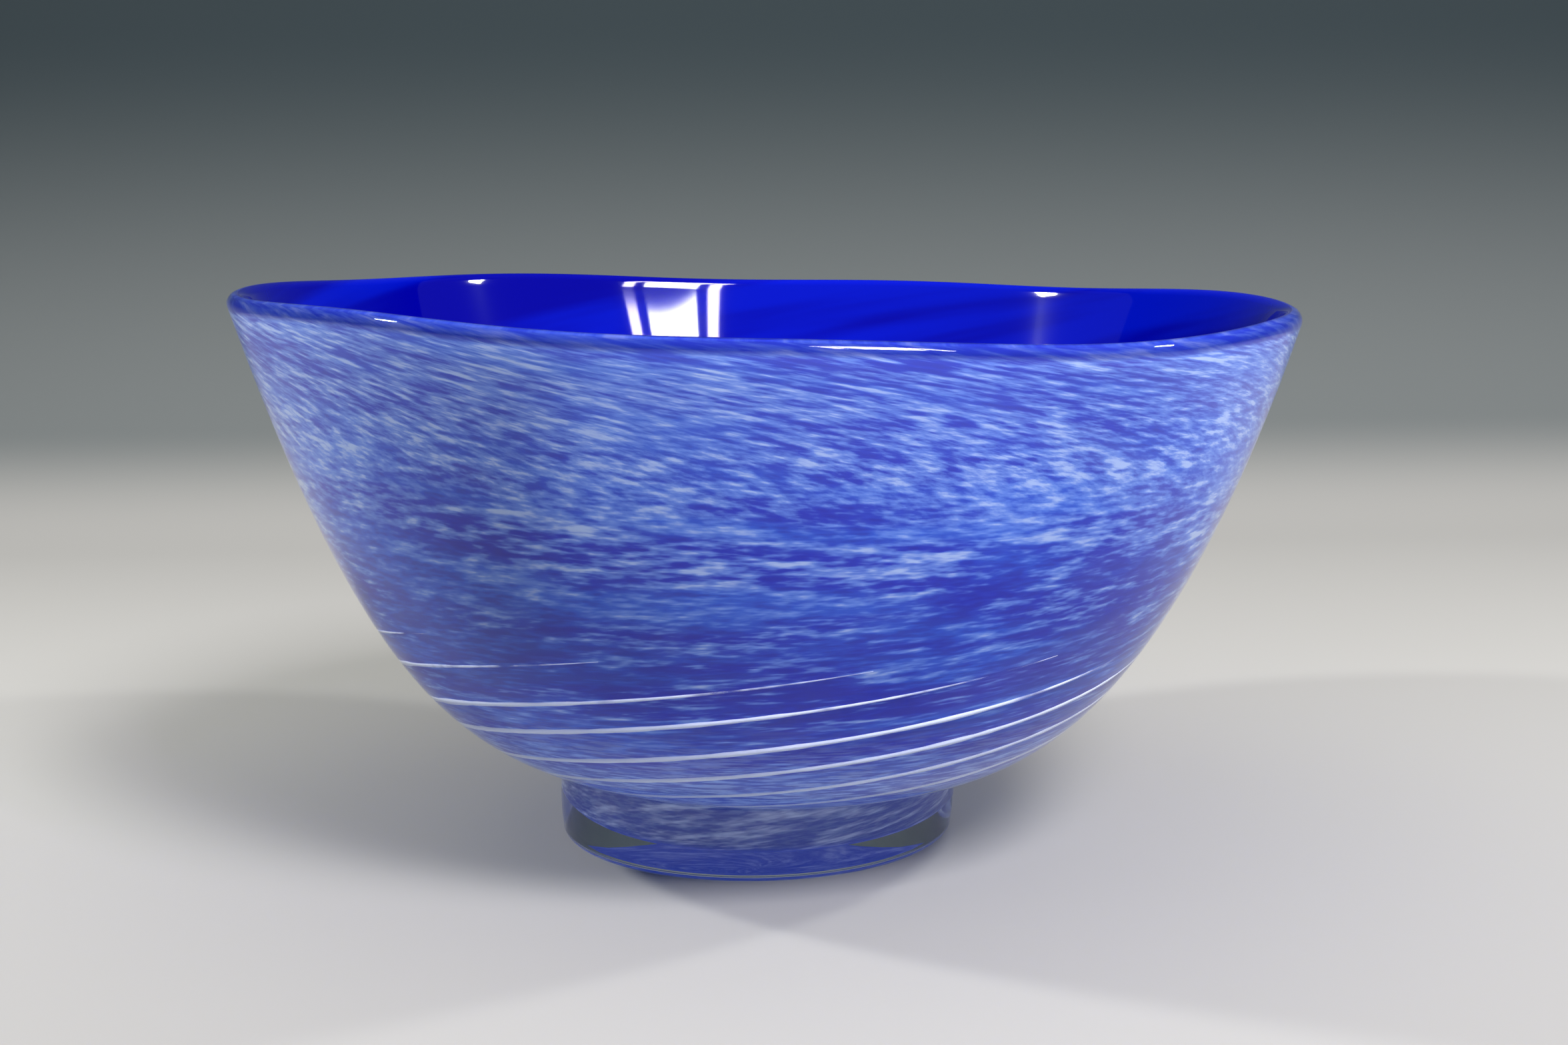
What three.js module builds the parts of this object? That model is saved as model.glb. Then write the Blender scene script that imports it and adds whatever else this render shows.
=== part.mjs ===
// Blown art glass bowl on a clear foot: cobalt lining, white frit layer, white threads laid in a
// swirl, a clear casing that rolls over the rim, and a hot-applied foot. Millimetres, +Z up, the
// origin at the middle of the flat ground base.
import * as THREE from 'three';
import { mergeVertices } from 'three/addons/utils/BufferGeometryUtils.js';

// Overall sizes
const rimRadius = 125;          // to the outside of the wall, where the lip starts to round over
const wallTop = 127;            // height of that ring; the round lip stands above it
const bottomHeight = 18.2;      // of the flat that the belly springs from
const bottomReach = 48;         // how far the flat of the bottom pulls outwards before it turns up
const bellyRadius = 84;         // pull of the belly, outwards
const bellyHeight = -2.4;       // and its height: lower makes a rounder belly
const footRadius = 47.8;
const footRounding = 3.2;       // of the lower edge
const footBarrel = 0.5;         // swell of the side at half height
const bottomSag = 15.3;         // how far the bottom of the bowl sinks into the foot
const sagFlatness = 6;          // higher: a flatter bottom with steeper sides

// Walls, from the outside in
const casingAtRim = 2.0;
const casingAtBase = 1.0;
const fritWall = 0.8;
const liningAtRim = 1.3;
const liningAtBase = 2.6;
const fusedGap = 0.3;           // the pieces are fused in the real bowl; here they stand this far apart
const lipSkin = 0.8;            // clear glass over the top edge of the frit, in the lip

// White threads
const threadCount = 12;
const threadWidth = 1.6;
const threadDepth = 0.7;
const threadRoom = 0.4;         // on both sides of a thread
const threadStart = 54.5;       // way from the axis along the outline, where a thread starts
const threadEnd = 121.6;        // and where it fades out
const threadFade = 16;          // the room for the threads closes over this length
const threadPhase = 21.7;       // turns the whole set of threads, in degrees
const swirl = THREE.MathUtils.degToRad(3.0);  // turn for each mm along the outline

// Hand-made departures from a true form of revolution
const leanAngle = THREE.MathUtils.degToRad(2.0);  // of the bowl towards +X, on its level foot
const waveStart = 55;           // the waves of the rim die out down to this height
const rimWaves = [              // waves round the rim, height of each in mm, where it peaks
  { count: 1, height: 0.6, peak: -14 },
  { count: 2, height: 1.0, peak: 12 },
  { count: 3, height: 0.5, peak: 2 },
  { count: 7, height: 0.35, peak: 20 },
];
const bulge = { count: 6, depth: 0.9, peak: 10 };  // soft flutes of the wall near the rim

// Fineness of the facets
const segments = 48;
const stations = 24;
const lipFacet = THREE.MathUtils.degToRad(28);  // the widest facet round the lip
const edgeSteps = 3;
const threadSides = 6;
const stepsAlongThread = 40;

// Outside of the bowl from the axis to the rim, as (radius, height)
const body = new THREE.CubicBezierCurve(
  new THREE.Vector2(0, bottomHeight),
  new THREE.Vector2(bottomReach, bottomHeight),
  new THREE.Vector2(bellyRadius, bellyHeight),
  new THREE.Vector2(rimRadius, wallTop),
);
class Outline extends THREE.Curve {
  getPoint(t) {
    const point = body.getPoint(t);
    const inFoot = Math.max(0, 1 - (point.x / footRadius) ** sagFlatness);
    point.y -= bottomSag * inFoot ** 2;
    return point;
  }
}
const outline = new Outline();
outline.arcLengthDivisions = 2000;
const outlineLength = outline.getLength();
const blend = (from, to, share) => from + (to - from) * share;

// A point of the wall at a share of the outline's length, so deep below the outside
function inWall(share, depth) {
  const along = outline.getTangentAt(share);
  return outline.getPointAt(share).add(new THREE.Vector2(-along.y, along.x).multiplyScalar(depth));
}

// Depths of the layers' faces at a share of the outline's length
const casingInside = (share) => blend(casingAtBase, casingAtRim, share);
const hollowForThreads = (share) => {
  const past = share * outlineLength - threadEnd;
  return (threadDepth + 2 * threadRoom - fusedGap) * (1 - THREE.MathUtils.smoothstep(past, 0, threadFade));
};
const fritOutside = (share) => casingInside(share) + fusedGap + hollowForThreads(share);
const fritInside = (share) => fritOutside(share) + fritWall;
const liningOutside = (share) => fritInside(share) + fusedGap;
const liningInside = (share) => liningOutside(share) + blend(liningAtBase, liningAtRim, share);

// One face of a layer as a row of points, from the axis up to where the lip starts
function face(depthAt) {
  const row = [];
  for (let i = 0; i <= stations; i++) {
    const share = i / stations;
    const point = inWall(share, depthAt(share));
    if (i === 0) point.x = 0;
    row.push(point);
  }
  return row;
}

// Bends a straight piece as the hand-made bowl is: waves near the rim, then the lean on the foot
function settle(x, y, z) {
  const turn = Math.atan2(y, x);
  const share = Math.max(0, (z - waveStart) / (wallTop - waveStart)) ** 2;
  let lift = 0;
  for (const wave of rimWaves) {
    lift += wave.height * Math.cos(wave.count * turn - THREE.MathUtils.degToRad(wave.peak * wave.count));
  }
  const flute = Math.cos(bulge.count * turn - THREE.MathUtils.degToRad(bulge.peak * bulge.count));
  const out = 1 + (share * bulge.depth * flute) / rimRadius;
  const raised = z + share * lift;
  const lean = leanAngle * THREE.MathUtils.smoothstep(z, 0, bottomHeight);
  return new THREE.Vector3(
    x * out * Math.cos(lean) + raised * Math.sin(lean),
    y * out,
    raised * Math.cos(lean) - x * out * Math.sin(lean),
  );
}

// Merges a geometry's shared points, drops the empty triangles at its poles and bends it
function finish(geometry, place) {
  geometry.deleteAttribute('normal');
  geometry.deleteAttribute('uv');
  const welded = mergeVertices(geometry, 1e-4);
  const corners = welded.index.array;
  const kept = [];
  for (let i = 0; i < corners.length; i += 3) {
    const [a, b, c] = [corners[i], corners[i + 1], corners[i + 2]];
    if (a !== b && b !== c && c !== a) kept.push(a, b, c);
  }
  welded.setIndex(kept);
  const points = welded.attributes.position;
  for (let i = 0; i < points.count; i++) {
    const at = place(points.getX(i), points.getY(i), points.getZ(i));
    points.setXYZ(i, at.x, at.y, at.z);
  }
  welded.computeVertexNormals();
  return welded;
}

// Turns a section of (radius, height) points round the axis
function turned(section) {
  return finish(new THREE.LatheGeometry(section, segments).rotateX(Math.PI / 2), settle);
}

// The lip is a half circle as wide as the wall. The casing takes its outer side and covers the frit,
// and the lining comes up behind it and takes the inner side
const wall = liningInside(1);
const lipMiddle = inWall(1, wall / 2);
const upward = outline.getTangentAt(1);

const aboveWall = (depth, rise) => inWall(1, depth).addScaledVector(upward, rise);
const lipHeight = (depth) => Math.sqrt(Math.max(0, depth * (wall - depth)));
const fritCover = lipHeight(fritInside(1)) - lipSkin;  // underside of the clear glass over the frit

function lip(fromDepth, toDepth) {
  const [start, end] = [fromDepth, toDepth].map((depth) => Math.acos(1 - (2 * depth) / wall));
  const steps = Math.ceil((end - start) / lipFacet);
  const row = [];
  for (let i = 0; i <= steps; i++) {
    const swing = upward.angle() - Math.PI / 2 + blend(start, end, i / steps);
    row.push(new THREE.Vector2(Math.cos(swing), Math.sin(swing)).multiplyScalar(wall / 2).add(lipMiddle));
  }
  return row;
}

function clearCasing() {
  const cover = [aboveWall(fritInside(1), fritCover), aboveWall(casingInside(1), fritCover)];
  return turned([
    ...face(() => 0), ...lip(0, fritInside(1)).slice(1), ...cover, ...face(casingInside).reverse(),
  ]);
}

function fritLayer() {
  const top = [fritOutside(1), fritInside(1)].map((depth) => aboveWall(depth, fritCover - fusedGap));
  return turned([...face(fritOutside), ...top, ...face(fritInside).reverse()]);
}

function blueLining() {
  return turned([
    ...face(liningOutside), ...lip(liningOutside(1), wall), ...face(liningInside).reverse().slice(1),
  ]);
}

function clearFoot() {
  const under = face(() => -fusedGap);
  const beyond = under.findIndex((point) => point.x > footRadius);
  const seat = under.slice(0, beyond);
  const [last, next] = under.slice(beyond - 1);
  const sideTop = last.clone().lerp(next, (footRadius - last.x) / (next.x - last.x)).y;
  const flat = footRadius - footRounding;
  const section = [new THREE.Vector2(0, 0)];
  for (let i = 0; i <= edgeSteps; i++) {
    const swing = (Math.PI / 2) * (i / edgeSteps);
    section.push(new THREE.Vector2(
      flat + footRounding * Math.sin(swing),
      footRounding * (1 - Math.cos(swing)),
    ));
  }
  section.push(new THREE.Vector2(footRadius + footBarrel, blend(footRounding, sideTop, 0.5)));
  section.push(new THREE.Vector2(footRadius, sideTop));
  return turned([...section, ...seat.reverse()]);
}

// A point inside the faceted wall, so that a thread keeps its room beside flat facets
function inFacets(way, turn, depthAt) {
  const row = (way / outlineLength) * stations;
  const below = Math.min(stations - 1, Math.floor(row));
  const [low, high] = [below, below + 1].map((i) => {
    return inWall(i / stations, depthAt(i / stations));
  });
  const point = low.lerp(high, row - below);
  const facet = (2 * Math.PI) / segments;
  const offMiddle = THREE.MathUtils.euclideanModulo(turn, facet) - facet / 2;
  const radius = (point.x * Math.cos(facet / 2)) / Math.cos(offMiddle);
  return settle(radius * Math.cos(turn), radius * Math.sin(turn), point.y);
}

// A flattened rod with round ends, laid along the swirl
function whiteThread(start) {
  const rod = new THREE.CapsuleGeometry(1, 1, 2, threadSides, stepsAlongThread);
  return finish(rod, (x, y, z) => {
    const beyond = Math.max(0, Math.abs(y) - 0.5) * Math.sign(y);
    const way = blend(threadStart, threadEnd, y - beyond + 0.5) + beyond;
    const turn = start + swirl * (way - threadStart);
    const middle = threadRoom + threadDepth / 2;
    return inFacets(way + (z * threadWidth) / 2, turn, (share) => {
      return casingInside(share) + middle - (x * threadDepth) / 2;
    });
  });
}

const cobaltGlass = new THREE.MeshStandardMaterial({ color: 0x0a14c8, roughness: 0.05, metalness: 0 });
const fritGlass = new THREE.MeshStandardMaterial({ color: 0x7389d8, roughness: 0.3, metalness: 0 });
const opalThread = new THREE.MeshStandardMaterial({ color: 0xdfe8f6, roughness: 0.3, metalness: 0 });
const clearGlass = new THREE.MeshStandardMaterial({
  color: 0xf2f6fa, roughness: 0.03, metalness: 0, transparent: true, opacity: 0.3,
});

function piece(name, geometry, material) {
  const mesh = new THREE.Mesh(geometry, material);
  mesh.name = name;
  return mesh;
}

const bowl = new THREE.Group();
bowl.add(piece('clear_foot', clearFoot(), clearGlass));
bowl.add(piece('clear_casing', clearCasing(), clearGlass));
bowl.add(piece('frit_layer', fritLayer(), fritGlass));
bowl.add(piece('blue_lining', blueLining(), cobaltGlass));
for (let i = 0; i < threadCount; i++) {
  const number = String(i + 1).padStart(2, '0');
  const start = THREE.MathUtils.degToRad(threadPhase + (360 * i) / threadCount);
  bowl.add(piece(`white_thread_${number}`, whiteThread(start), opalThread));
}

export default bowl;
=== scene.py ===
"""Blown art glass bowl on a clear foot: a cobalt lining, a mottled layer of frit with white threads laid
in a swirl, and a clear casing that rolls over the rim. Sizes are in millimetres until a mesh is made."""
import math

import bmesh
import bpy
import numpy as np
from mathutils import Matrix, Vector


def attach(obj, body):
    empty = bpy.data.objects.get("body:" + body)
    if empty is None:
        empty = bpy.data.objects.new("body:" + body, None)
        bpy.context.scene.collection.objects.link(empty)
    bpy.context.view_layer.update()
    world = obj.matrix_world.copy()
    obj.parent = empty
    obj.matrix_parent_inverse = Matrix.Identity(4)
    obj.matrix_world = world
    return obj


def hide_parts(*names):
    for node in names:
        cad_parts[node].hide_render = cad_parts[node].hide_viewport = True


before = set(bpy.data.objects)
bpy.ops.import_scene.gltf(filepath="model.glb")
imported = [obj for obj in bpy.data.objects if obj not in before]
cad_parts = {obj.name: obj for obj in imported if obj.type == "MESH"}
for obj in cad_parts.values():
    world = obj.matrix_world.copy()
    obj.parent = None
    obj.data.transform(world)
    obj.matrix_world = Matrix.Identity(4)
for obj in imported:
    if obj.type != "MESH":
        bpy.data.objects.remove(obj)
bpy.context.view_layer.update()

MM = 0.001

# Outside of the wall from the axis to the rim: the four points of one Bezier curve, (radius, height)
OUTLINE = np.array([(0, 18.2), (48, 18.2), (84, -2.4), (125, 127)], float)
FOOT_RADIUS = 47.8
FOOT_ROUNDING = 3.2
FOOT_BARREL = 0.5       # swell of the side at half height
SAG = 15.3              # how far the bottom of the bowl sinks into the foot
SAG_FLATNESS = 6        # higher: a flatter bottom with steeper sides

# Walls, from the outside in, at the base and at the rim
CASING = (1.0, 2.0)
FRIT = (2.2, 1.1)
LINING = (3.0, 1.6)
OVERLAP = 0.15          # fused layers run this far into each other, so that no air lies between them
LIP_SKIN = 0.8          # clear glass over the top edge of the frit, in the lip

# White threads, and the swirl that they and the frit share
THREADS = 12
THREAD_START = 54.5     # way from the axis along the outline
THREAD_END = 121.6
THREAD_FADE = 30        # a thread thins out over this length
THREAD_PHASE = 21.7     # degrees
SWIRL = 3.0             # degrees of turn for each mm along the outline
TURN_BACK = 101         # way where the swirl starts to let go
LETTING_GO = 0.06       # how much less it turns for each mm beyond, in degrees

# Hand-made departures from a true form of revolution, as in the frame
LEAN = math.radians(2.0)
WAVE_START = 55
WALL_TOP = 127
RIM_WAVES = ((1, 0.6, -14), (2, 1.0, 12), (3, 0.5, 2), (7, 0.35, 20))  # count, height, where it peaks
BULGE = (6, 0.9, 10)

SEGMENTS = 288          # facets round a turned piece
STEP = 1.6              # length of a facet along a section
HUB = 1.0               # radius of the circle that a section is swept along

# Stage
FLOOR = -0.0001         # in metres: a hair under the foot, so that its base mirrors as polished glass does
WINDOW_POWER = 125      # watts for each square metre of pane
RIGHT_LAMP_POWER = 2.0
LEFT_LAMP_POWER = 2.9
OVERHEAD_POWER = 12


# ---------------------------------------------------------------- the wall's outline

def bezier(t):
    t = np.asarray(t, float)[:, None]
    a, b, c, d = OUTLINE
    return (1 - t) ** 3 * a + 3 * (1 - t) ** 2 * t * b + 3 * (1 - t) * t ** 2 * c + t ** 3 * d


FINE = bezier(np.linspace(0, 1, 4001))
FINE[:, 1] -= SAG * np.maximum(0, 1 - (FINE[:, 0] / FOOT_RADIUS) ** SAG_FLATNESS) ** 2
WAYS = np.concatenate([[0], np.cumsum(np.hypot(*np.diff(FINE, axis=0).T))])
LENGTH = WAYS[-1]


def wall_point(way, depth):
    """A point of the wall so far along the outline and so deep below it, as (radius, height)."""
    point = np.array([np.interp(way, WAYS, FINE[:, i]) for i in (0, 1)])
    ahead = np.array([np.interp(way + 0.5, WAYS, FINE[:, i]) for i in (0, 1)])
    behind = np.array([np.interp(way - 0.5, WAYS, FINE[:, i]) for i in (0, 1)])
    along = (ahead - behind) / np.hypot(*(ahead - behind))
    return point + depth * np.array([-along[1], along[0]])


def taper(sizes, way):
    """A wall's thickness on its way from the base to the rim."""
    return sizes[0] + (sizes[1] - sizes[0]) * way / LENGTH


def casing_inside(way):
    return taper(CASING, way)


def frit_inside(way):
    return casing_inside(way) + taper(FRIT, way)


def lining_inside(way):
    return frit_inside(way) + taper(LINING, way)


def face(depth_at, start, end):
    """One face of a layer, as rows of (radius, height, way)."""
    count = max(2, int(abs(end - start) / STEP))
    rows = []
    for way in np.linspace(start, end, count):
        radius, height = wall_point(way, depth_at(way))
        rows.append((0.0 if way == 0 else radius, height, way))
    return rows


def arc(middle, radius, start, end, count, way):
    """Round stretch of a section; angles in radians, 0 pointing outwards."""
    swings = np.linspace(start, end, count + 2)[1:-1]
    return [(middle[0] + radius * math.cos(a), middle[1] + radius * math.sin(a), way) for a in swings]


# ---------------------------------------------------------------- node helpers

def add(tree, kind, inputs=(), **settings):
    """Adds a node with its settings. An input is given a value, or the socket that it is linked from."""
    made = tree.nodes.new(kind)
    for name, value in settings.items():
        setattr(made, name, value)
    for key, value in dict(inputs).items():
        if isinstance(value, bpy.types.NodeSocket):
            tree.links.new(value, made.inputs[key])
        else:
            made.inputs[key].default_value = value
    return made


def geometry_tree(name, sockets):
    """An empty tree with these named inputs and one geometry output; returns it with its two ends."""
    tree = bpy.data.node_groups.new(name, "GeometryNodeTree")
    for label, kind in sockets:
        tree.interface.new_socket(label, in_out="INPUT", socket_type=kind)
    tree.interface.new_socket("Glass", in_out="OUTPUT", socket_type="NodeSocketGeometry")
    return tree, add(tree, "NodeGroupInput").outputs, add(tree, "NodeGroupOutput").inputs


def grown(name, tree, mesh, values):
    """Runs a tree on a mesh and keeps the result as a plain object at the origin."""
    source = bpy.data.objects.new(name, mesh)
    bpy.context.scene.collection.objects.link(source)
    modifier = source.modifiers.new("tree", "NODES")
    modifier.node_group = tree
    for item in tree.interface.items_tree:
        if item.in_out == "INPUT" and item.name in values:
            modifier[item.identifier] = values[item.name]
    ready = source.evaluated_get(bpy.context.evaluated_depsgraph_get())
    result = bpy.data.meshes.new_from_object(ready)
    source.modifiers.clear()
    source.data = result
    result.name = name
    return source


# ---------------------------------------------------------------- materials

def colour(code, alpha=1.0):
    """sRGB hex to linear."""
    parts = [int(code[i:i + 2], 16) / 255 for i in (1, 3, 5)]
    return tuple(v / 12.92 if v <= 0.04045 else ((v + 0.055) / 1.055) ** 2.4 for v in parts) + (alpha,)


def material(name):
    """A new material with one Principled shader; returns it with its node tree and the shader."""
    made = bpy.data.materials.new(name)
    made.use_nodes = True
    tree = made.node_tree
    tree.nodes.clear()
    shader = add(tree, "ShaderNodeBsdfPrincipled")
    add(tree, "ShaderNodeOutputMaterial", {"Surface": shader.outputs["BSDF"]})
    return made, tree, shader


def coated(tree, base, *coats):
    """Lays coats over a base colour. Each comes on softly while a value goes from none to full, up to its
    strength."""
    for value, none, full, strength, coat in coats:
        share = add(tree, "ShaderNodeMapRange", {"Value": value, "From Min": none, "From Max": full,
                    "To Max": strength}, interpolation_type="SMOOTHSTEP")
        base = add(tree, "ShaderNodeMix", {0: share.outputs["Result"], 6: base, 7: coat},
                   data_type="RGBA").outputs[2]
    return base


def turned_wall(tree):
    """Where a point of the wall lay before the hot glass was turned: its direction from the axis and its
    way along the outline. The swirl keeps its full turn low down, lets go half way up and runs back
    towards the rim."""
    wall = add(tree, "ShaderNodeAttribute", attribute_name="wall").outputs["Vector"]
    way = add(tree, "ShaderNodeSeparateXYZ", {0: wall}).outputs["Z"]
    past = add(tree, "ShaderNodeMath", {0: way, 1: TURN_BACK * MM}, operation="SUBTRACT")
    past = add(tree, "ShaderNodeMath", {0: past.outputs[0], 1: 0.0}, operation="MAXIMUM")
    square = add(tree, "ShaderNodeMath", {0: past.outputs[0], 1: 2.0}, operation="POWER")
    back = add(tree, "ShaderNodeMath", {0: square.outputs[0],
               1: math.radians(LETTING_GO) / 2 / MM ** 2}, operation="MULTIPLY")
    low = add(tree, "ShaderNodeMath", {0: way, 1: -math.radians(SWIRL) / MM}, operation="MULTIPLY")
    angle = add(tree, "ShaderNodeMath", {0: low.outputs[0], 1: back.outputs[0]}, operation="ADD")
    before = add(tree, "ShaderNodeVectorRotate", {"Vector": wall, "Angle": angle.outputs[0]},
                 rotation_type="Z_AXIS")
    return before.outputs[0], way


def wall_noise(tree, wall, cell, detail=2.0, roughness=0.5, offset=0.0):
    """Noise on the wall, in cells of so many mm round the bowl, where it is 0.1 m in radius, and along its
    outline. The offset sets it apart from the other noises."""
    round_scale = 0.1 / (cell[0] * MM)
    scaled = add(tree, "ShaderNodeVectorMath", {0: wall, 1: (round_scale, round_scale,
                 1 / (cell[1] * MM))}, operation="MULTIPLY")
    moved = add(tree, "ShaderNodeVectorMath", {0: scaled.outputs[0], 1: (offset, offset * 1.7, 0)},
                operation="ADD")
    noise = add(tree, "ShaderNodeTexNoise", {"Vector": moved.outputs[0], "Scale": 1.0, "Detail": detail,
                "Roughness": roughness})
    return noise.outputs["Fac"]


def clear_glass():
    """Fire-polished clear soda-lime glass: a smooth, wet-looking surface with crisp highlights. Light
    for the layers below passes straight through it, as it does through a wall this thin."""
    made, tree, shader = material("clear_soda_lime_glass")
    shader.inputs["Base Color"].default_value = colour("#F7FAFC")
    shader.inputs["Roughness"].default_value = 0.0
    shader.inputs["IOR"].default_value = 1.5
    shader.inputs["Transmission Weight"].default_value = 1.0
    path = add(tree, "ShaderNodeLightPath")
    through = add(tree, "ShaderNodeBsdfTransparent", {"Color": colour("#F2F6FA")})
    surface = add(tree, "ShaderNodeMixShader", {0: path.outputs["Is Shadow Ray"],
                  1: shader.outputs["BSDF"], 2: through.outputs["BSDF"]})
    tree.links.new(surface.outputs[0], tree.nodes["Material Output"].inputs["Surface"])
    return made


def cobalt_glass():
    """Cobalt lining: a deep, saturated, glossy blue, with lighter clouds where the layer is thin."""
    made, tree, shader = material("cobalt_cased_glass")
    wall, way = turned_wall(tree)
    clouds = wall_noise(tree, wall, (55, 40), detail=3)
    near_rim = add(tree, "ShaderNodeMapRange", {"Value": way, "From Min": 150 * MM,
                   "From Max": LENGTH * MM, "To Max": 0.1}, interpolation_type="SMOOTHSTEP")
    thin = add(tree, "ShaderNodeMath", {0: clouds, 1: near_rim.outputs["Result"]}, operation="ADD")
    base = coated(tree, colour("#000092"), (thin.outputs[0], 0.5, 0.72, 1.0, colour("#0012B6")))
    tree.links.new(base, shader.inputs["Base Color"])
    shader.inputs["Roughness"].default_value = 0.04
    shader.inputs["IOR"].default_value = 1.5
    return made


def frit_glass():
    """Opal and blue frit melted into one layer and drawn out by the turning: long streaks low down,
    cloudy flecks half way up, and fine hairs that sweep down to the right at the rim. Its shine is that
    of the clear glass over it."""
    made, tree, shader = material("opal_and_blue_frit_glass")
    wall, way = turned_wall(tree)

    long_flecks = wall_noise(tree, wall, (13, 2.1), detail=3, roughness=0.55, offset=1.3)
    round_flecks = wall_noise(tree, wall, (4.4, 2.5), detail=4, roughness=0.62, offset=4.3)
    upper = add(tree, "ShaderNodeMapRange", {"Value": way, "From Min": 148 * MM, "From Max": 172 * MM},
                interpolation_type="SMOOTHSTEP")
    flecks = add(tree, "ShaderNodeMix", {0: upper.outputs["Result"], 2: long_flecks, 3: round_flecks})
    hairs = wall_noise(tree, wall, (4.5, 1.1), detail=2, offset=7.7)
    clouds = wall_noise(tree, wall, (50, 8), detail=3, offset=3.1)

    # How much frit lies there: least half way up, more towards the rim and near the foot
    rimward = add(tree, "ShaderNodeMapRange", {"Value": way, "From Min": 100 * MM, "From Max": 170 * MM,
                  "To Min": -0.178, "To Max": -0.065}, interpolation_type="SMOOTHSTEP")
    footward = add(tree, "ShaderNodeMapRange", {"Value": way, "From Min": 85 * MM, "From Max": 62 * MM,
                   "To Max": 0.05}, interpolation_type="SMOOTHSTEP")
    frit = rimward.outputs["Result"]
    for amount, weight in ((footward.outputs["Result"], 1.0), (flecks.outputs[0], 0.65), (hairs, 0.35),
                           (clouds, 0.2)):
        frit = add(tree, "ShaderNodeMath", {0: amount, 1: weight, 2: frit},
                   operation="MULTIPLY_ADD").outputs[0]

    bands = wall_noise(tree, wall, (70, 12), detail=3, offset=9.4)
    violet = wall_noise(tree, wall, (48, 34), detail=2, offset=12.4)
    streaks = wall_noise(tree, wall, (9, 0.9), detail=3, roughness=0.6, offset=8.8)
    patches = wall_noise(tree, wall, (26, 5), detail=3, roughness=0.6, offset=5.5)
    drawn_out = coated(tree, colour("#3438AC"), (streaks, 0.44, 0.60, 1.0, colour("#A6C0EE")))
    in_the_foot = coated(tree, colour("#1E3490"), (patches, 0.46, 0.72, 1.0, colour("#9CAAD0")))
    base = coated(
        tree, colour("#1830BC"),
        (bands, 0.38, 0.62, 1.0, colour("#2E62D4")),
        (violet, 0.54, 0.70, 0.35, colour("#5450B0")),
        (frit, 0.46, 0.36, 0.55, colour("#181EA4")),    # bare blue between the flecks
        (frit, 0.45, 0.58, 0.7, colour("#78A2EC")),     # thin frit
        (frit, 0.55, 0.68, 0.85, colour("#C8DCF6")),    # opal grains
        (way, 100 * MM, 60 * MM, 0.5, colour("#A4BCE8")),
        (way, 110 * MM, 75 * MM, 0.55, drawn_out),
        (way, 55 * MM, 47 * MM, 0.8, in_the_foot),
        # painted light: the flat bottom is painted a brighter blue for the light that reaches it through the
        # clear foot
        (way, 36 * MM, 28 * MM, 0.5, colour("#3454D4")),    # the flat bottom
        (way, 150 * MM, 185 * MM, 0.12, colour("#8C9CD6")),
        # painted shade: the frit's top edge is painted dark blue against the light that falls on it from
        # above, and for the dark lining seen through the lip
        (way, (LENGTH - 1.2) * MM, LENGTH * MM, 0.8, colour("#1A2AA0")))    # the top edge, in the lip
    tree.links.new(base, shader.inputs["Base Color"])
    shader.inputs["Roughness"].default_value = 0.6
    shader.inputs["Specular IOR Level"].default_value = 0.0

    # Painted glow: emission that stands in for the light from inside the bowl that comes through the layer,
    # most of it low down
    through = add(tree, "ShaderNodeMapRange", {"Value": way, "From Min": 140 * MM, "From Max": 60 * MM,
                  "To Min": 0.04, "To Max": 0.36}, interpolation_type="SMOOTHSTEP")
    tree.links.new(base, shader.inputs["Emission Color"])
    tree.links.new(through.outputs["Result"], shader.inputs["Emission Strength"])
    return made


def thread_glass():
    """Opal white glass drawn into threads: dense white that thins out to nothing at the upper end, with a
    painted glow that stands in for a little of the light that comes through the wall."""
    made, tree, shader = material("opal_white_thread_glass")
    wall, way = turned_wall(tree)
    density = wall_noise(tree, wall, (12, 3.0), detail=3, offset=2.2)
    thinning = add(tree, "ShaderNodeMapRange", {"Value": way, "From Min": (THREAD_END - THREAD_FADE) * MM,
                   "From Max": THREAD_END * MM, "To Max": 0.36}, interpolation_type="SMOOTHSTEP")
    left = add(tree, "ShaderNodeMath", {0: density, 1: thinning.outputs["Result"]}, operation="SUBTRACT")
    solid = add(tree, "ShaderNodeMapRange", {"Value": left.outputs[0], "From Min": 0.02,
                "From Max": 0.28}, interpolation_type="SMOOTHSTEP")
    tree.links.new(solid.outputs["Result"], shader.inputs["Alpha"])
    shader.inputs["Base Color"].default_value = colour("#F0F5FF")
    # Painted glow: emission that stands in for the light that comes through the wall
    shader.inputs["Emission Color"].default_value = colour("#C8DCFF")
    shader.inputs["Emission Strength"].default_value = 0.15
    shader.inputs["Roughness"].default_value = 0.5
    shader.inputs["Specular IOR Level"].default_value = 0.0
    return made


def floor_paint():
    """Matt pale studio paper, painted darker towards the top of the sweep: painted shade for the light that
    falls off upwards.
    """
    made, tree, shader = material("matt_studio_floor")
    place = add(tree, "ShaderNodeTexCoord").outputs["Object"]
    height = add(tree, "ShaderNodeSeparateXYZ", {0: place}).outputs["Z"]
    # Painted shade: darker where the sweep starts to rise, and darker still towards its top
    base = coated(tree, colour("#B4B3AD"), (height, 0.0, 0.035, 1.0, colour("#7C817F")),
                  (height, 0.02, 0.25, 1.0, colour("#3E484B")))
    tree.links.new(base, shader.inputs["Base Color"])
    shader.inputs["Roughness"].default_value = 0.9
    shader.inputs["Specular IOR Level"].default_value = 0.0
    return made


# ---------------------------------------------------------------- turned pieces

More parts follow.
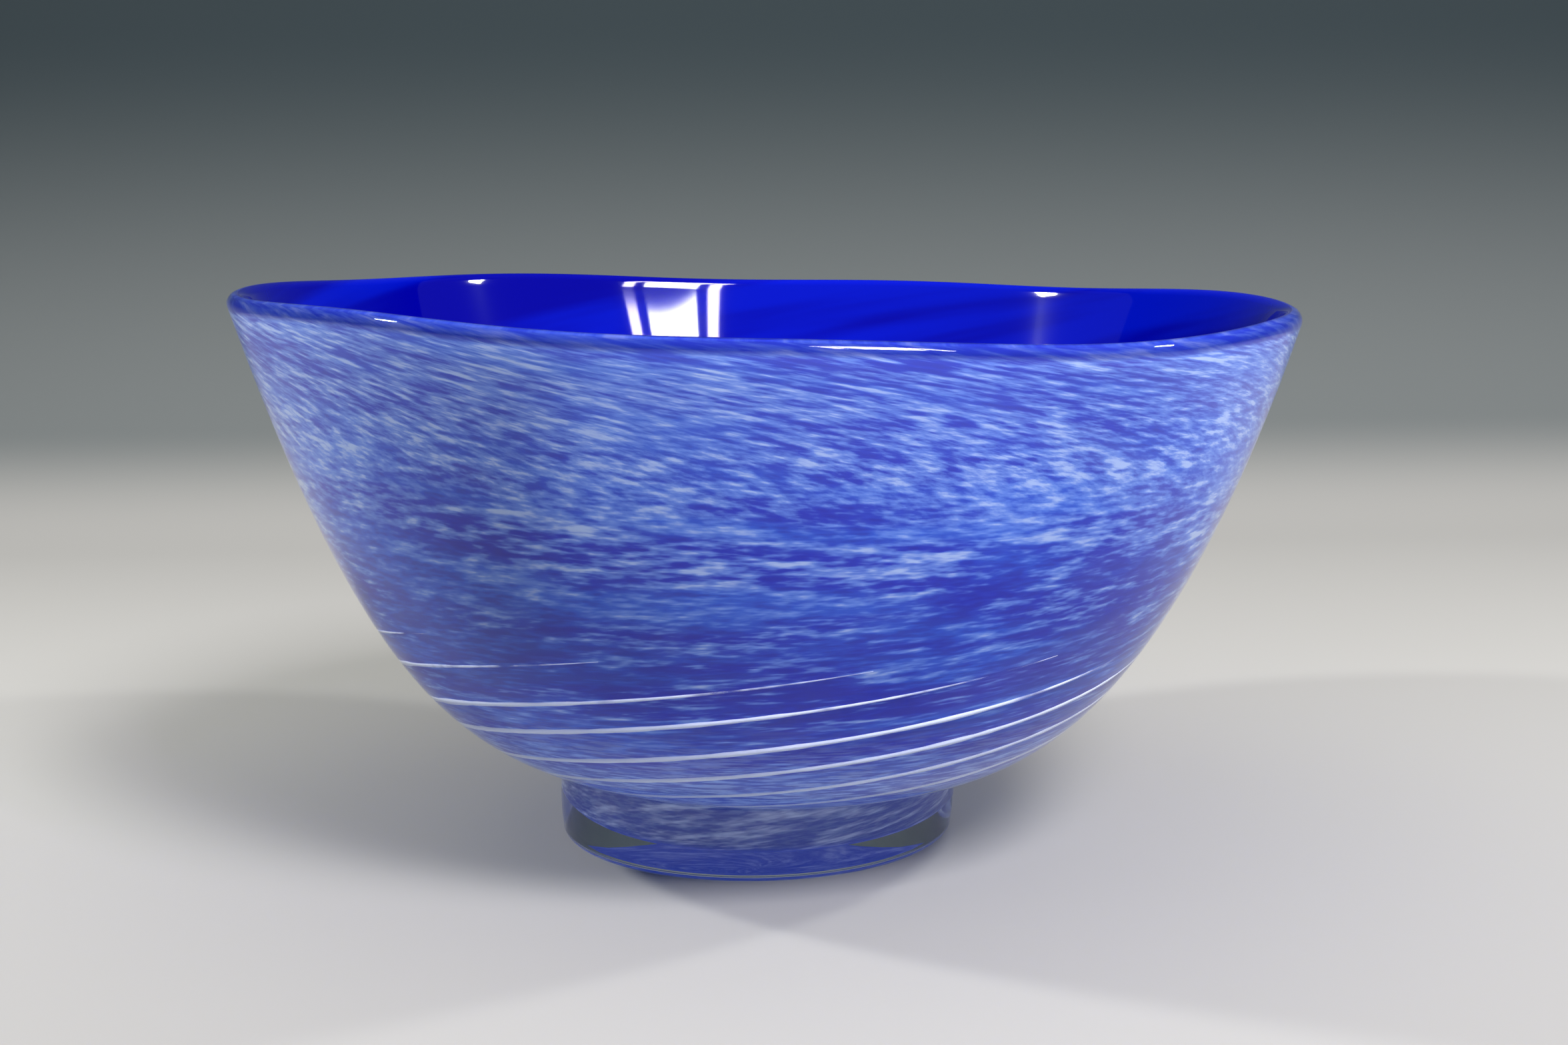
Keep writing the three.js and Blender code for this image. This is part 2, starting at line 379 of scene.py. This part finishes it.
def turning_tree():
    """Sweeps a section round the axis, as glass is turned on the pipe."""
    tree, given, result = geometry_tree("turned_glass", [
        ("Section", "NodeSocketGeometry"), ("Segments", "NodeSocketInt"),
        ("Hub Radius", "NodeSocketFloat"), ("Material", "NodeSocketMaterial")])
    section = add(tree, "GeometryNodeMeshToCurve", {"Mesh": given["Section"]})
    circle = add(tree, "GeometryNodeCurvePrimitiveCircle", {"Resolution": given["Segments"],
                 "Radius": given["Hub Radius"]})
    upright = add(tree, "GeometryNodeSetCurveNormal", {"Curve": circle.outputs["Curve"]}, mode="Z_UP")
    swept = add(tree, "GeometryNodeCurveToMesh", {"Curve": upright.outputs["Curve"],
                "Profile Curve": section.outputs["Curve"]})
    closed = add(tree, "GeometryNodeMergeByDistance", {"Geometry": swept.outputs["Mesh"],
                 "Distance": 0.002 * MM})
    smooth = add(tree, "GeometryNodeSetShadeSmooth", {"Geometry": closed.outputs["Geometry"]})
    real = add(tree, "GeometryNodeRealizeInstances", {"Geometry": smooth.outputs["Geometry"]})
    glazed = add(tree, "GeometryNodeSetMaterial", {"Geometry": real.outputs["Geometry"],
                 "Material": given["Material"]})
    tree.links.new(glazed.outputs["Geometry"], result["Glass"])
    return tree


def settle(mesh):
    """Bends a true form of revolution as the hand-made bowl is: waves near the rim, and the lean on the
    level foot. Keeps on the mesh, as the attribute wall, where each point was round the axis and how
    far along the outline."""
    count = len(mesh.vertices)
    flat = np.empty(count * 3)
    mesh.vertices.foreach_get("co", flat)
    x, y, z = flat.reshape(-1, 3).T / MM
    way = np.empty(count)
    mesh.attributes["way"].data.foreach_get("value", way)
    radius = np.maximum(np.hypot(x, y), 1e-6)
    marks = np.column_stack([x / radius, y / radius, way * MM])
    wall = mesh.attributes.new("wall", "FLOAT_VECTOR", "POINT")
    wall.data.foreach_set("vector", marks.ravel())

    turn = np.arctan2(y, x)
    share = np.maximum(0, (z - WAVE_START) / (WALL_TOP - WAVE_START)) ** 2
    lift = sum(high * np.cos(n * (turn - math.radians(peak))) for n, high, peak in RIM_WAVES)
    n, deep, peak = BULGE
    out = 1 + share * deep * np.cos(n * (turn - math.radians(peak))) / OUTLINE[3][0]
    level = np.clip(z / OUTLINE[0][1], 0, 1)
    lean = LEAN * level ** 2 * (3 - 2 * level)
    raised = z + share * lift
    bent = np.column_stack([x * out * np.cos(lean) + raised * np.sin(lean), y * out,
                            raised * np.cos(lean) - x * out * np.sin(lean)])
    mesh.vertices.foreach_set("co", (bent * MM).ravel())
    mesh.update()


def section_mesh(rows, closes):
    """A section as a line of points; closes joins its last point to its first."""
    mesh = bpy.data.meshes.new("section")
    points = [((r - HUB) * MM, -z * MM, 0) for r, z, way in rows]
    links = [(i, i + 1) for i in range(len(rows) - 1)]
    if closes:
        links.append((len(rows) - 1, 0))
    mesh.from_pydata(points, links, [])
    way = mesh.attributes.new("way", "FLOAT", "POINT")
    way.data.foreach_set("value", [row[2] for row in rows])
    return mesh


def outward(mesh):
    """Turns the faces outwards where the sweep left them facing in."""
    work = bmesh.new()
    work.from_mesh(mesh)
    if work.calc_volume(signed=True) < 0:
        bmesh.ops.reverse_faces(work, faces=work.faces)
    work.to_mesh(mesh)
    work.free()


def turned_piece(name, rows, closes, finish):
    """A plain piece turned from its section, bent as the bowl is."""
    piece = grown(name, TURNING, section_mesh(rows, closes), {
        "Segments": SEGMENTS, "Hub Radius": HUB * MM, "Material": finish})
    outward(piece.data)
    settle(piece.data)
    return piece


def clear_foot(finish):
    """Hot-applied foot; the clear glass over the colours under the bowl is one with it."""
    flat = FOOT_RADIUS - FOOT_ROUNDING
    way_at_side = float(np.interp(FOOT_RADIUS, FINE[:, 0], WAYS))
    side_top = wall_point(way_at_side, 0)[1]
    rows = [(r, 0.0, 0.0) for r in np.linspace(0, flat, 24)]
    rows += arc((flat, FOOT_ROUNDING), FOOT_ROUNDING, -math.pi / 2, 0, 10, 0.0)
    for up in np.linspace(0, 1, 12):
        swell = FOOT_BARREL * math.sin(math.pi * up)
        rows.append((FOOT_RADIUS + swell, FOOT_ROUNDING + (side_top - FOOT_ROUNDING) * up, 0.0))
    way_at_seat = way_at_side - 0.05    # just inside the side, so that the corner closes
    rows += face(lambda way: casing_inside(way) + OVERLAP, way_at_seat, 0)
    return turned_piece("foot_of_clear_glass", rows, False, finish)


# The lip is a half circle as wide as the wall. The casing takes its outer side and covers the frit, and
# the lining comes up behind it and takes the inner side.
WALL = lining_inside(LENGTH)
LIP_MIDDLE = wall_point(LENGTH, WALL / 2)
OUTWARD = (wall_point(LENGTH, 0) - LIP_MIDDLE) / (WALL / 2)
UPWARD = np.array([-OUTWARD[1], OUTWARD[0]])


def lip_height(depth):
    """How far the lip stands above the wall's end, over a depth in the wall."""
    return math.sqrt(depth * (WALL - depth))


def above_wall(depth, rise):
    """A row over the wall's end, at a depth in the wall."""
    radius, height = wall_point(LENGTH, depth) + UPWARD * rise
    return (radius, height, LENGTH + rise)


def lip(from_depth, to_depth):
    """Stretch of the lip's half circle between two depths, as rows of (radius, height, way)."""
    start, end = (math.acos(1 - 2 * depth / WALL) for depth in (from_depth, to_depth))
    rows = []
    for swing in np.linspace(start, end, max(3, int((end - start) / 0.12))):
        side = LIP_MIDDLE + (OUTWARD * math.cos(swing) + UPWARD * math.sin(swing)) * WALL / 2
        rows.append((side[0], side[1], LENGTH + math.sin(swing) * WALL / 2))
    return rows


def clear_casing(finish):
    """Outer gather of clear glass, rolled over the top of the frit. It starts just inside the foot."""
    start = float(np.interp(FOOT_RADIUS, FINE[:, 0], WAYS)) - 0.3
    back = frit_inside(LENGTH) + OVERLAP
    cover = lip_height(back) - LIP_SKIN
    rows = face(lambda way: 0.0, start, LENGTH) + lip(0, back)[1:]
    rows += [above_wall(back, cover), above_wall(casing_inside(LENGTH) + OVERLAP, cover)]
    rows += face(lambda way: casing_inside(way) + OVERLAP, LENGTH, start)
    return turned_piece("casing_of_clear_glass", rows, True, finish)


def frit_layer(finish):
    """The mottled layer between the casing and the lining, which ends under the lip's clear skin."""
    top = lip_height(frit_inside(LENGTH)) - LIP_SKIN + OVERLAP
    rows = face(casing_inside, 0, LENGTH)
    rows += [above_wall(depth, top) for depth in (casing_inside(LENGTH), frit_inside(LENGTH) + OVERLAP)]
    rows += face(lambda way: frit_inside(way) + OVERLAP, LENGTH, 0)
    return turned_piece("layer_of_frit", rows, False, finish)


def blue_lining(finish):
    """Inner gather of cobalt glass, with the inner side of the lip."""
    rows = face(frit_inside, 0, LENGTH) + lip(frit_inside(LENGTH), WALL)[:-1]
    rows += face(lining_inside, LENGTH, 0)
    return turned_piece("lining_of_cobalt_glass", rows, False, finish)


# ---------------------------------------------------------------- white threads

def thread_tree():
    """Repeats one thread round the bowl and gives each its own uneven thickness."""
    tree, given, result = geometry_tree("laid_threads", [
        ("Path", "NodeSocketGeometry"), ("Count", "NodeSocketInt"), ("Scatter", "NodeSocketFloat"),
        ("Thickness", "NodeSocketFloat"), ("Seed", "NodeSocketInt"), ("Material", "NodeSocketMaterial")])
    path = add(tree, "GeometryNodeMeshToCurve", {"Mesh": given["Path"]})
    copies = add(tree, "GeometryNodeDuplicateElements", {"Geometry": path.outputs["Curve"],
                 "Amount": given["Count"]}, domain="SPLINE")
    index = copies.outputs["Duplicate Index"]
    share = add(tree, "ShaderNodeMath", {0: index, 1: given["Count"]}, operation="DIVIDE")
    even = add(tree, "ShaderNodeMath", {0: share.outputs[0], 1: 2 * math.pi}, operation="MULTIPLY")
    less = add(tree, "ShaderNodeMath", {0: given["Scatter"], 1: -1.0}, operation="MULTIPLY")
    chance = add(tree, "FunctionNodeRandomValue", {2: less.outputs[0], 3: given["Scatter"], "ID": index,
                 "Seed": given["Seed"]}, data_type="FLOAT")
    turn = add(tree, "ShaderNodeMath", {0: even.outputs[0], 1: chance.outputs[1]}, operation="ADD")
    place = add(tree, "GeometryNodeInputPosition")
    turned = add(tree, "ShaderNodeVectorRotate", {"Vector": place.outputs[0], "Angle": turn.outputs[0]},
                 rotation_type="Z_AXIS")
    laid = add(tree, "GeometryNodeSetPosition", {"Geometry": copies.outputs["Geometry"],
               "Position": turned.outputs[0]})
    rough = add(tree, "ShaderNodeTexNoise", {"Vector": turned.outputs[0], "Scale": 160.0, "Detail": 2.0})
    along = add(tree, "GeometryNodeSplineParameter")
    ends = add(tree, "ShaderNodeFloatCurve", {"Value": along.outputs["Factor"]})
    thickness = ends.mapping.curves[0].points
    for share_along, thick in ((0.06, 0.9), (0.55, 1.0), (0.85, 0.45)):
        thickness.new(share_along, thick)
    thickness[0].location = (0, 0.15)
    thickness[-1].location = (1, 0.08)
    ends.mapping.update()
    uneven = add(tree, "ShaderNodeMapRange", {"Value": rough.outputs["Fac"], "From Min": 0.3,
                 "From Max": 0.7, "To Min": 0.7, "To Max": 1.15})
    shaped = add(tree, "ShaderNodeMath", {0: uneven.outputs["Result"], 1: ends.outputs["Value"]},
                 operation="MULTIPLY")
    radius = add(tree, "ShaderNodeMath", {0: shaped.outputs[0], 1: given["Thickness"]},
                 operation="MULTIPLY")
    round_wire = add(tree, "GeometryNodeCurvePrimitiveCircle", {"Resolution": 10, "Radius": 0.5})
    drawn = add(tree, "GeometryNodeCurveToMesh", {"Curve": laid.outputs["Geometry"],
                "Profile Curve": round_wire.outputs["Curve"], "Scale": radius.outputs[0],
                "Fill Caps": True})
    smooth = add(tree, "GeometryNodeSetShadeSmooth", {"Geometry": drawn.outputs["Mesh"]})
    real = add(tree, "GeometryNodeRealizeInstances", {"Geometry": smooth.outputs["Geometry"]})
    glazed = add(tree, "GeometryNodeSetMaterial", {"Geometry": real.outputs["Geometry"],
                 "Material": given["Material"]})
    tree.links.new(glazed.outputs["Geometry"], result["Glass"])
    return tree


def white_threads(finish):
    """The threads lie on the frit, half sunk in it, along the swirl."""
    rows = []
    for way in np.arange(THREAD_START, THREAD_END, 0.7):
        radius, height = wall_point(way, casing_inside(way) - 0.02)
        turn = math.radians(THREAD_PHASE + SWIRL * (way - THREAD_START))
        rows.append((radius * math.cos(turn), radius * math.sin(turn), height, way))
    mesh = bpy.data.meshes.new("thread_path")
    mesh.from_pydata([tuple(v * MM for v in row[:3]) for row in rows],
                     [(i, i + 1) for i in range(len(rows) - 1)], [])
    way = mesh.attributes.new("way", "FLOAT", "POINT")
    way.data.foreach_set("value", [row[3] for row in rows])
    piece = grown("threads_of_white_glass", thread_tree(), mesh, {
        "Count": THREADS, "Scatter": math.radians(2.5), "Thickness": 1.7 * MM, "Seed": 4,
        "Material": finish})
    settle(piece.data)
    return piece


# ---------------------------------------------------------------- stage

def camera():
    """A lens of 52 mm for a 36 mm frame, a little above the rim, looking slightly down."""
    lens = bpy.data.cameras.new("camera")
    lens.lens, lens.sensor_width = 52.0, 36.0
    lens.clip_start = 0.01
    place = (-0.0006, -0.5428, 0.1606)
    yaw, pitch, roll = (math.radians(v) for v in (0.85, 8.89, -0.63))
    look = Vector((math.sin(yaw) * math.cos(pitch), math.cos(yaw) * math.cos(pitch), -math.sin(pitch)))
    right = Vector((math.cos(yaw), -math.sin(yaw), 0))
    up = right.cross(look)
    tilted_right = math.cos(roll) * right + math.sin(roll) * up
    tilted_up = -math.sin(roll) * right + math.cos(roll) * up
    made = bpy.data.objects.new("camera", lens)
    axes = Matrix((tilted_right, tilted_up, -look)).transposed().to_4x4()
    made.matrix_world = Matrix.Translation(place) @ axes
    bpy.context.scene.collection.objects.link(made)
    bpy.context.scene.camera = made


def area_light(name, place, target, size, power, tint="#FFFFFF"):
    """A flat light that faces its target."""
    lamp = bpy.data.lights.new(name, "AREA")
    lamp.shape = "RECTANGLE"
    lamp.size, lamp.size_y = size
    lamp.energy = power
    lamp.color = colour(tint)[:3]
    made = bpy.data.objects.new(name, lamp)
    made.location = place
    made.rotation_euler = (Vector(target) - Vector(place)).to_track_quat("-Z", "Y").to_euler()
    bpy.context.scene.collection.objects.link(made)
    return made


def stage():
    """A pale sweep with painted shade that darkens it upwards behind the bowl, and soft light: a
    window-shaped panel in front, a small lamp on each side and a wide dim panel overhead."""
    front, depth, rise, top, width = -2.2, 0.42, 0.45, 1.6, 3.0
    rows = [(front, FLOOR), (depth, FLOOR)]
    rows += [(depth + rise * math.sin(a), FLOOR + rise * (1 - math.cos(a)))
             for a in np.linspace(0, math.pi / 2, 32)[1:]]
    rows.append((depth + rise, top))
    points, faces = [], []
    for y, z in rows:
        points += [(-width, y, z), (width, y, z)]
    for i in range(len(rows) - 1):
        faces.append((2 * i, 2 * i + 1, 2 * i + 3, 2 * i + 2))
    mesh = bpy.data.meshes.new("studio_sweep")
    mesh.from_pydata(points, [], faces)
    for polygon in mesh.polygons:
        polygon.use_smooth = True
    mesh.materials.append(floor_paint())
    sweep = bpy.data.objects.new("studio_sweep", mesh)
    bpy.context.scene.collection.objects.link(sweep)

    world = bpy.data.worlds.new("studio")
    world.use_nodes = True
    world.node_tree.nodes["Background"].inputs["Color"].default_value = colour("#D2D2D0")
    world.node_tree.nodes["Background"].inputs["Strength"].default_value = 0.15
    bpy.context.scene.world = world
    bpy.context.scene.view_settings.view_transform = "Standard"

    # The window: a tall pane between two slits, low enough for the far wall to mirror its lower edge
    reach, turn, height, tall = 1.5, math.radians(-63), math.radians(31.0), 0.5
    far_wall = Vector((-0.022, 0.114, 0.12))
    way_out = Vector((math.cos(turn) * math.cos(height), math.sin(turn) * math.cos(height),
                      math.sin(height)))
    across = Vector((-math.sin(turn), math.cos(turn), 0))
    upward = way_out.cross(across)
    sill = far_wall + way_out * reach
    panes = ((0, 0.245, "#FFFFFF"), (-0.18, 0.055, "#E6DCFF"), (0.18, 0.055, "#E6DCFF"))
    for i, (side, broad, tint) in enumerate(panes):
        place = sill + across * side + upward * tall / 2
        area_light(f"window_pane_{i + 1}", place, far_wall, (broad, tall), WINDOW_POWER * broad * tall, tint)
    for name, side, power in (("lamp_right", 1, RIGHT_LAMP_POWER), ("lamp_left", -1, LEFT_LAMP_POWER)):
        area_light(name, (0.60 * side, 0.02, 0.52), (0, 0, 0.1), (0.05, 0.05), power)
    dome = area_light("overhead_panel", (0, 0, 1.5), (0, 0, 0), (2.0, 2.0), OVERHEAD_POWER)
    dome.visible_glossy = False


# ---------------------------------------------------------------- assembly

camera()
stage()
TURNING = turning_tree()
clear, cobalt, frit, white = clear_glass(), cobalt_glass(), frit_glass(), thread_glass()

parts = (
    (clear_foot(clear), "clear_glass", ["clear_foot"]),
    (clear_casing(clear), "clear_glass", ["clear_casing"]),
    (frit_layer(frit), "frit_glass", ["frit_layer"]),
    (blue_lining(cobalt), "cobalt_glass", ["blue_lining"]),
    (white_threads(white), "white_glass", [f"white_thread_{i + 1:02d}" for i in range(THREADS)]),
)
for piece, slot, nodes in parts:
    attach(piece, "root")
    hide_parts(*nodes)
